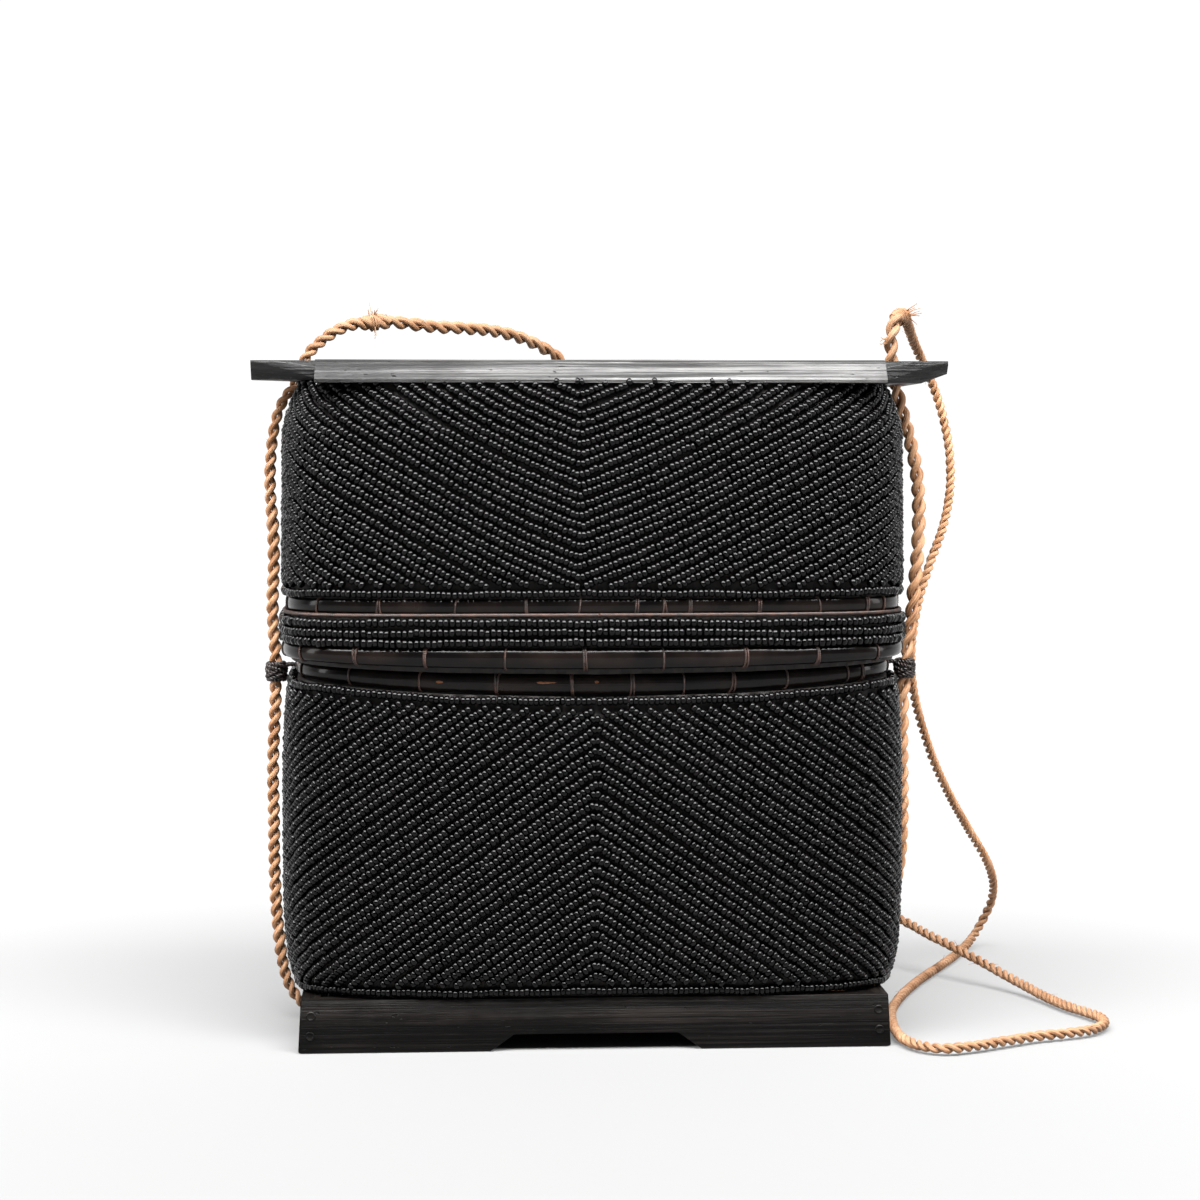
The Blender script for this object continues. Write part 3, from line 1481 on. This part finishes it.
@dataclass
class Plank:
    """The lid's top: a bevelled plank with a hacked ear at each end, drilled for the rope."""

    finishes: Finishes
    half_x: float = 0.0866
    half_y: float = 0.0502
    edge: float = 0.0009
    bevel: float = 0.0046
    ease: float = 0.0025
    drop: float = 0.0007
    ear_lengths: tuple[float, float] = (0.0198, 0.0209)
    ear_half_y: float = 0.0380
    root_rises: tuple[float, float] = (0.0009, 0.0)
    tip_rises: tuple[float, float] = (0.0020, 0.0022)
    tip_slopes: tuple[float, float] = (0.10, 0.34)
    overlap: float = 0.0020
    hole_radius: float = 0.0043
    drill_depth: float = 0.03
    holes: tuple[float, float] = (-0.0933, 0.0964)
    stations: int = 150
    grain: float = 0.00030

    def section(self) -> list[tuple[float, float]]:
        """The plank's section as (y, z), with points enough for its grain."""
        top = LEVELS.plank_high
        corners = [
            (-self.half_y, LEVELS.plank_low),
            (-self.half_y, LEVELS.plank_low + self.edge),
            (-self.half_y + self.bevel, top - self.drop),
            (-self.half_y + self.bevel + self.ease, top),
        ]
        corners += [(-y, z) for y, z in reversed(corners)]
        steps = [1, 9, 4, 26, 4, 9, 1, 14]
        points = []
        for (start, stop), count in zip(zip(corners, corners[1:] + corners[:1]), steps):
            for k in range(count):
                share = k / count
                points.append(tuple(a + (b - a) * share for a, b in zip(start, stop)))
        return points

    def board(self) -> bpy.types.Mesh:
        """The plank between its ears, with the tool's long ridges."""
        shape = bmesh.new()
        ring = [shape.verts.new((-self.half_x, y, z)) for y, z in self.section()]
        face = shape.faces.new(ring)
        step = 2 * self.half_x / self.stations
        for station in range(self.stations):
            grown = bmesh.ops.extrude_face_region(shape, geom=[face])["geom"]
            if station:
                bmesh.ops.delete(shape, geom=[face], context="FACES")
            face = next(part for part in grown if isinstance(part, bmesh.types.BMFace))
            moved = [part for part in grown if isinstance(part, bmesh.types.BMVert)]
            bmesh.ops.translate(shape, verts=moved, vec=(step, 0, 0))
        middle = (LEVELS.plank_low + LEVELS.plank_high) / 2
        for vert in shape.verts:
            x, y, z = vert.co
            if abs(x) > self.half_x - step / 2:
                continue
            ridge = noise.fractal(Vector((x * 11, y * 260, z * 330)), 1.0, 2.2, 4)
            wave = noise.noise(Vector((x * 30, y * 24, 3.0)))
            on_bevel = min(1.0, max(0.0, (abs(y) - self.half_y + self.bevel + self.ease) / 0.002))
            depth = self.grain * (0.35 + 0.65 * on_bevel)
            up = 1.0 if z > middle else -0.4
            vert.co.z += up * depth * ridge * (0.4 if on_bevel else 1.0) + 0.00012 * wave * up
            vert.co.y -= math.copysign(depth * ridge * on_bevel, y)
        return to_mesh(shape, "plank_board")

    def ear(self, side: Side) -> bpy.types.Mesh:
        """One ear: a block hacked to shape with a few flat cuts."""
        seed = random_source(f"ear{side.name}")
        sign = side.value
        root = self.half_x - self.overlap
        at = 0 if side is Side.LEFT else 1
        tip = self.half_x + self.ear_lengths[at]
        low, high = LEVELS.plank_low + self.root_rises[at], LEVELS.plank_high
        tip_low = LEVELS.plank_low + self.tip_rises[at]
        shape = bmesh.new()
        bmesh.ops.create_cube(shape, size=1.0)
        size = (tip - root, 2 * self.ear_half_y, high - low - 0.0002)
        bmesh.ops.scale(shape, verts=shape.verts, vec=size)
        bmesh.ops.translate(shape, verts=shape.verts, vec=(sign * (root + tip) / 2, 0, (low + high) / 2))
        cuts = [
            ((tip, 0, tip_low), (self.tip_slopes[at], 0.0, -1.0)),
            ((tip, 0, high - 0.0004), (0.75, 0.0, 0.7)),
        ]
        for end in (-1, 1):
            y = end * self.ear_half_y
            cuts += [
                ((root + 0.004, y, low + 0.0010), (0.20, end * 0.80, -0.60)),
                ((tip - 0.007, y, low + 0.0020), (0.25, end * 0.85, -0.50)),
                ((tip - 0.002, y, low + 0.0026), (0.40, end * 0.8, -0.45)),
                ((tip, y - end * 0.0010, high - 0.002), (0.6, end * 0.75, 0.1)),
                ((tip - 0.006, y, high - 0.0006), (0.05, end * 0.6, 0.8)),
                ((root + 0.008, y, high - 0.0014), (-0.12, end * 0.7, 0.6)),
            ]
        for place, facing in cuts:
            normal = Vector(facing) + Vector(seed.normal(scale=0.03, size=3))
            normal.x *= sign
            self.hack(shape, Vector((sign * place[0], place[1], place[2])), normal.normalized())
        bmesh.ops.bevel(
            shape, geom=list(shape.edges), offset=0.00022, offset_type="OFFSET", segments=1, profile=0.5,
            affect="EDGES", material=-1, clamp_overlap=True,
        )
        bmesh.ops.triangulate(shape, faces=shape.faces)
        bmesh.ops.subdivide_edges(
            shape, edges=[e for e in shape.edges if e.calc_length() > 0.006], cuts=3, use_grid_fill=True
        )
        return to_mesh(shape, f"ear_{side.name.lower()}")

    @staticmethod
    def hack(shape: bmesh.types.BMesh, place: Vector, facing: Vector) -> None:
        """Cuts away what lies outside a plane and closes the cut."""
        everything = [*shape.verts, *shape.edges, *shape.faces]
        cut = bmesh.ops.bisect_plane(
            shape, geom=everything, plane_co=place, plane_no=facing, clear_outer=True
        )["geom_cut"]
        edges = [part for part in cut if isinstance(part, bmesh.types.BMEdge)]
        if edges:
            bmesh.ops.holes_fill(shape, edges=edges, sides=0)

    def build(self) -> None:
        """Joins the plank and its ears, and drills them."""
        holder = bpy.data.objects.new("plank", self.board())
        bpy.context.collection.objects.link(holder)
        tools = []
        for side in Side:
            tools.append((bpy.data.objects.new(f"ear_{side.name}", self.ear(side)), "UNION"))
        for x in self.holes:
            drill = bmesh.new()
            bmesh.ops.create_cone(
                drill, cap_ends=True, segments=40, radius1=self.hole_radius, radius2=self.hole_radius,
                depth=self.drill_depth,
            )
            bmesh.ops.translate(drill, verts=drill.verts, vec=(x, 0, LEVELS.plank_low))
            tools.append((bpy.data.objects.new("drill", to_mesh(drill, "drill")), "DIFFERENCE"))
        for tool, operation in tools:
            bpy.context.collection.objects.link(tool)
            modifier = holder.modifiers.new(operation, "BOOLEAN")
            modifier.operation = operation
            modifier.solver = "EXACT"
            modifier.object = tool
        mesh = applied(holder)
        for tool, _ in tools:
            bpy.data.objects.remove(tool, do_unlink=True)
        add_piece("plank_and_ears", mesh, self.finishes.plank, "lid_plank", smooth=32)


# The foot


@dataclass
class Foot:
    """The mitred foot frame with its low arch, and the dowel heads that hold its corners."""

    finishes: Finishes
    middle_x: float = -0.0020
    half_x: float = 0.0898
    half_y: float = 0.0507
    flare: float = 0.0008
    thickness: float = 0.0060
    lower_round: float = 0.0007
    edge_round: float = 0.00025
    right_arch_shift: float = 0.0240
    front_arch: tuple[float, float, float] = (0.0648, 0.0500, 0.0052)
    side_arch: tuple[float, float, float] = (0.0400, 0.0300, 0.0088)
    dowel_inset: float = 0.0033
    dowel_levels: tuple[float, float] = (0.0054, 0.0115)
    dowel_radius: float = 0.0014
    dowel_profile: tuple[tuple[float, float], ...] = (
        (0.0, 0.00006), (0.50, 0.00008), (0.70, 0.00026), (0.86, 0.00034), (1.0, 0.00018), (1.0, -0.0006),
        (0.0, -0.0006),
    )

    def board(
        self, name: str, half_length: float, reach: float, arch: tuple[float, ...], shift: float, turn: float
    ) -> bpy.types.Mesh:
        """One board of the frame.

        Args:
            name: The mesh's name.
            half_length: Half its length at the top.
            reach: How far its outer face stands from the box's middle at the top.
            arch: The arch's width at the floor and at its top, and its height.
            shift: How far the arch stands from the board's middle.
            turn: How far it is turned about the box's middle.

        Returns:
            The board's mesh, with its edges eased.
        """
        foot_width, top_width, height = arch
        loop = [
            (None, 0.0, -1), (shift - foot_width / 2, 0.0, 0), (shift - top_width / 2, height, 0),
            (shift + top_width / 2, height, 0), (shift + foot_width / 2, 0.0, 0), (None, 0.0, 1),
            (None, LEVELS.foot, 1), (None, LEVELS.foot, -1),
        ]
        shape = bmesh.new()
        rings = []
        for depth in (0.0, self.thickness):
            ring = []
            for x, z, end in loop:
                flare = self.flare * (1 - z / LEVELS.foot)
                if x is None:
                    x = end * (half_length + flare - depth - LEVELS.gap * 0.7)
                ring.append(shape.verts.new((x, depth - reach - flare, z)))
            rings.append(ring)
        front, back = rings
        shape.faces.new(front)
        shape.faces.new(back[::-1])
        for i, here in enumerate(front):
            j = (i + 1) % len(front)
            shape.faces.new((here, back[i], back[j], front[j]))
        self.round_off(shape, [edge for edge in shape.edges if self.is_lower(edge)], self.lower_round)
        self.round_off(shape, [e for e in shape.edges if e.calc_face_angle(0.0) > 0.5], self.edge_round)
        bmesh.ops.rotate(shape, verts=shape.verts, matrix=Matrix.Rotation(turn, 3, "Z"))
        bmesh.ops.translate(shape, verts=shape.verts, vec=(self.middle_x, 0, 0))
        return to_mesh(shape, name)

    @staticmethod
    def is_lower(edge: bmesh.types.BMEdge) -> bool:
        """Whether an edge lies on the floor, along the board."""
        start, stop = (vert.co for vert in edge.verts)
        return start.z + stop.z < 0.0001 and abs(start.y - stop.y) < 0.001

    @staticmethod
    def round_off(shape: bmesh.types.BMesh, edges: list[bmesh.types.BMEdge], width: float) -> None:
        """Rounds some edges."""
        bmesh.ops.bevel(
            shape, geom=edges, offset=width, offset_type="OFFSET", segments=2, profile=0.5, affect="EDGES",
            material=-1, clamp_overlap=True,
        )

    def build(self) -> None:
        """Builds the four boards and the dowel heads."""
        quarter = math.pi / 2
        long_board = (self.half_x, self.half_y, self.front_arch)
        short_board = (self.half_y, self.half_x, self.side_arch)
        boards = (
            ("front", *long_board, 0.0, 0.0, self.finishes.foot),
            ("back", *long_board, 0.0, 2 * quarter, self.finishes.foot),
            ("right", *short_board, self.right_arch_shift, quarter, self.finishes.foot_ends),
            ("left", *short_board, 0.0, -quarter, self.finishes.foot_ends),
        )
        for where, half_length, reach, arch, shift, turn, finish in boards:
            label = f"foot_rail_{where}"
            mesh = self.board(label, half_length, reach, arch, shift, turn)
            add_piece(label, mesh, finish, f"foot_board_{where}", smooth=30)
        self.build_dowels()

    def dowel_head(self) -> bmesh.types.BMesh:
        """One dowel head, which faces up."""
        shape = bmesh.new()
        verts = [shape.verts.new((r * self.dowel_radius, 0, h)) for r, h in self.dowel_profile]
        edges = [shape.edges.new(pair) for pair in zip(verts, verts[1:])]
        bmesh.ops.spin(
            shape, geom=[*verts, *edges], cent=(0, 0, 0), axis=(0, 0, 1), angle=2 * math.pi, steps=20,
            use_merge=True,
        )
        bmesh.ops.remove_doubles(shape, verts=shape.verts, dist=1e-6)
        return shape

    def build_dowels(self) -> None:
        """Builds the dowel heads, each a low rim round a sunken end."""
        places = product(((-1, "front"), (1, "back")), Side, zip(("low", "high"), self.dowel_levels))
        for (facing, where), side, (level, z) in places:
            node = f"dowel_{where}_{side.name.lower()}_{level}"
            flare = self.flare * (1 - z / LEVELS.foot)
            x = self.middle_x + side.value * (self.half_x + flare - self.dowel_inset)
            shape = self.dowel_head()
            turn = Matrix.Rotation(-facing * math.pi / 2, 3, "X")
            bmesh.ops.rotate(shape, verts=shape.verts, matrix=turn)
            bmesh.ops.translate(shape, verts=shape.verts, vec=(x, facing * (self.half_y + flare), z))
            add_piece(f"{node}_head", to_mesh(shape, node), self.finishes.foot, node, smooth=40)


# The cord loops


@dataclass
class CordLoops:
    """The knotted rings of black cord that guide the rope."""

    finishes: Finishes
    centres: tuple[Colour, Colour] = ((-0.1010, 0.0, 0.1123), (0.1007, 0.0, 0.1123))
    turns: int = 9
    waves: int = 4
    radius: float = 0.0027
    half_height: float = 0.0026
    lift: float = 0.00035
    tie_depth: float = 0.0052
    tie_offsets: tuple[float, float] = (-0.0007, 0.0008)

    def knot(self, centre: Colour) -> Array:
        """The winding of one ring, a band of crossing turns."""
        t = np.linspace(0, 2 * math.pi, 900, endpoint=False)
        swing = self.waves * t
        reach = self.radius + self.lift * np.cos(2 * swing + 0.8)
        angle = self.turns * t
        height = self.half_height * np.sin(swing)
        return np.stack([reach * np.cos(angle), reach * np.sin(angle), height], axis=1) + np.array(centre)

    def build(self) -> None:
        """Builds both rings with their ties."""
        for side, centre in zip(Side, self.centres):
            name = f"cord_loop_{side.name.lower()}"
            seed = random_source(name)
            line = self.knot(centre)
            twist = Twist(plies=2, ply_radius=0.00040, offset=0.00034, lay=0.0024, uneven=0.05)
            tubes = twist.around(even_points(np.vstack([line, line[:1]]), 0.0003), seed)
            collar_x = PLAN.shift_x + side.value * (PLAN.half_x - self.tie_depth)
            for offset in self.tie_offsets:
                tie = [
                    Vector((centre[0] - side.value * 0.0020, offset, centre[2] + 0.0012)),
                    Vector((centre[0] - side.value * 0.0038, offset * 1.3, centre[2] + 0.0022)),
                    Vector((collar_x, offset * 1.5, centre[2] + 0.0020)),
                ]
                tubes += twist.around(even_points(smooth_route(tie), 0.0003), seed)
            add_piece(name, tube_mesh(name, tubes, detail=1), self.finishes.cord, name)


# The studio


@dataclass
class Studio:
    """A white floor, soft boxes and the camera at the photograph's place."""

    lens: float = 85.0
    sensor: float = 36.0
    floor_size: float = 9.0
    camera_place: Colour = (-0.0531, -0.9046, 0.1874)
    camera_turn: tuple[float, float] = (86.667, -3.5)
    floor_tone: float = 0.165
    lit_spot: tuple[float, float] = (-0.05, -0.35)
    lit_reach: float = 0.68
    fall: float = 2.2
    shaded_half: tuple[float, float] = (0.086, 0.046)
    front_light: float = 0.12
    back_light: float = 1.06
    light_edge: float = 0.45
    aim: Colour = (0.0, 0.0, 0.12)
    boxes: tuple[tuple[str, Colour, tuple[float, float], float], ...] = (
        ("top box", (-0.05, -0.50, 1.02), (1.60, 0.60), 80.0),
        ("left box", (-1.20, -0.30, 0.50), (0.30, 0.8), 4.5),
        ("right box", (1.20, -0.25, 0.50), (0.30, 0.8), 4.5),
    )

    def place_camera(self) -> None:
        """Adds the camera."""
        data = bpy.data.cameras.new("camera")
        data.lens = self.lens
        data.sensor_width = self.sensor
        data.clip_start, data.clip_end = 0.01, 100.0
        camera = bpy.data.objects.new("camera", data)
        camera.location = self.camera_place
        tilt, turn = self.camera_turn
        camera.rotation_euler = (math.radians(tilt), 0.0, math.radians(turn))
        bpy.context.collection.objects.link(camera)
        bpy.context.scene.camera = camera

    def lay_floor(self) -> None:
        """Adds the pale floor."""
        shape = bmesh.new()
        bmesh.ops.create_grid(shape, x_segments=2, y_segments=2, size=self.floor_size)
        mesh = bpy.data.meshes.new("floor")
        shape.to_mesh(mesh)
        shape.free()
        floor = bpy.data.objects.new("floor", mesh)
        bpy.context.collection.objects.link(floor)
        graph = Graph("pale_floor")
        x, y, _ = graph.parts(graph.places())
        across, deep = x - self.lit_spot[0], y - self.lit_spot[1]
        away = (across * across + deep * deep) ** (self.fall / 2) * (1 / self.lit_reach) ** self.fall
        under_x, under_y = (
            1.0 - place.absolute().step(half, half + 0.004) for place, half in zip((x, y), self.shaded_half)
        )
        under = under_x * under_y
        glow = (1.0 - 0.98 / (1.0 + away)) * (1.0 - under)
        emission = graph.mix(glow, (0.0, 0.0, 0.0), (1.0, 1.0, 1.0))
        graph.set(base_color=(self.floor_tone,) * 3, roughness=0.9, specular_ior_level=0.0)
        graph.set(emission_color=emission, emission_strength=1.0)
        mesh.materials.append(graph.material)

    def add_light(self, name: str, place: Colour, size: tuple[float, float], power: float) -> None:
        """Adds one soft box.

        Args:
            name: Its name.
            place: Where it stands.
            size: Its width and height.
            power: Its power in watts.
        """
        data = bpy.data.lights.new(name, "AREA")
        data.shape = "RECTANGLE"
        data.size, data.size_y = size
        data.energy = power
        lamp = bpy.data.objects.new(name, data)
        lamp.location = place
        lamp.rotation_euler = (Vector(self.aim) - Vector(place)).to_track_quat("-Z", "Y").to_euler()
        bpy.context.collection.objects.link(lamp)

    def light_world(self) -> None:
        """White behind the box and dim in front of it, as in a studio."""
        world = bpy.context.scene.world or bpy.data.worlds.new("studio")
        bpy.context.scene.world = world
        world.use_nodes = True
        tree = world.node_tree
        tree.nodes.clear()
        output = tree.nodes.new("ShaderNodeOutputWorld")
        background = tree.nodes.new("ShaderNodeBackground")
        place = tree.nodes.new("ShaderNodeTexCoord")
        parts = tree.nodes.new("ShaderNodeSeparateXYZ")
        ramp = tree.nodes.new("ShaderNodeMapRange")
        ramp.inputs["From Max"].default_value = self.light_edge
        ramp.inputs["To Min"].default_value = self.front_light
        ramp.inputs["To Max"].default_value = self.back_light
        tree.links.new(place.outputs["Generated"], parts.inputs["Vector"])
        tree.links.new(parts.outputs["Y"], ramp.inputs["Value"])
        tree.links.new(ramp.outputs["Result"], background.inputs["Color"])
        tree.links.new(background.outputs["Background"], output.inputs["Surface"])

    def build(self) -> None:
        """Adds the floor and the lights."""
        self.lay_floor()
        self.light_world()
        for box in self.boxes:
            self.add_light(*box)
        bpy.context.scene.view_settings.view_transform = "Standard"


def main() -> None:
    """Builds the box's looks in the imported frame."""
    logging.basicConfig(level=logging.INFO, format="%(message)s")
    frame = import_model()
    studio = Studio()
    studio.place_camera()
    finishes = Finishes()
    Rope(finishes).build()
    Beadwork(finishes).build()
    RattanStrips(finishes).build()
    Plank(finishes).build()
    Foot(finishes).build()
    CordLoops(finishes).build()
    for node in ("lid_basket_core", "base_basket_core", "base_floor_board"):
        cad = frame["nodes"][node]
        cad.data.materials.clear()
        cad.data.materials.append(finishes.basket)
    studio.build()


if __name__ == "__main__":
    main()
